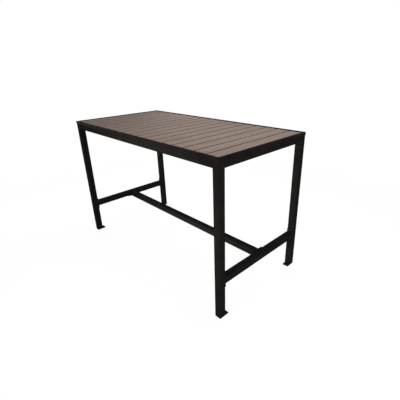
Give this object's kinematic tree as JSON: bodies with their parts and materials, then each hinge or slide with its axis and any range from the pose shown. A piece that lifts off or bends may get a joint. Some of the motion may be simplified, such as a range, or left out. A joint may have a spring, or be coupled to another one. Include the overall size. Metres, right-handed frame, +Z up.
{
  "type": "bar table",
  "caption": "Rectangular bar-height table: wood-look slats laid across a thin metal tray, on square tube legs joined by aprons and a low H of stretchers, with drilled foot plates.",
  "frame": {"origin": "on the floor, below the middle of the top", "axes": "+X along the table's length, +Y from its front to its back, +Z up"},
  "size_m": [1.656, 0.813, 1.016],
  "materials": {
    "frame": "fine-textured matt powder coat, near black",
    "slat_boards": "matt, brushed grain, greyed taupe",
    "support_bars": "matt powder coat, near black",
    "brackets": "matt powder coat, near black",
    "corner_keys": "mill finish",
    "fasteners": "blackened stainless steel"
  },
  "bodies": {
    "root": {"apron_back": "frame", "apron_front": "frame", "apron_left": "frame", "apron_plate_back_left_long": "frame", "apron_plate_back_left_short": "frame", "apron_plate_back_right_long": "frame", "apron_plate_back_right_short": "frame", "apron_plate_front_left_long": "frame", "apron_plate_front_left_short": "frame", "apron_plate_front_right_long": "frame", "apron_plate_front_right_short": "frame", "apron_right": "frame", "bracket_screws": "fasteners", "centre_plate_left": "frame", "centre_plate_right": "frame", "centre_stretcher": "frame", "corner_keys": "corner_keys", "edge_rail_back": "frame", "edge_rail_front": "frame", "edge_rail_left": "frame", "edge_rail_right": "frame", "end_stretcher_left": "frame", "end_stretcher_right": "frame", "foot_plate_back_left": "frame", "foot_plate_back_right": "frame", "foot_plate_front_left": "frame", "foot_plate_front_right": "frame", "frame_bolts": "fasteners", "frame_rivet_nuts": "fasteners", "leg_back_left": "frame", "leg_back_right": "frame", "leg_front_left": "frame", "leg_front_right": "frame", "slat_01": "slat_boards", "slat_02": "slat_boards", "slat_03": "slat_boards", "slat_04": "slat_boards", "slat_05": "slat_boards", "slat_06": "slat_boards", "slat_07": "slat_boards", "slat_08": "slat_boards", "slat_09": "slat_boards", "slat_10": "slat_boards", "slat_11": "slat_boards", "slat_12": "slat_boards", "slat_13": "slat_boards", "slat_14": "slat_boards", "slat_15": "slat_boards", "slat_16": "slat_boards", "slat_17": "slat_boards", "slat_screws": "fasteners", "stretcher_plate_back_left": "frame", "stretcher_plate_back_right": "frame", "stretcher_plate_front_left": "frame", "stretcher_plate_front_right": "frame", "support_bar_back": "support_bars", "support_bar_front": "support_bars", "tray_brackets": "brackets"}
  },
  "joints": []
}
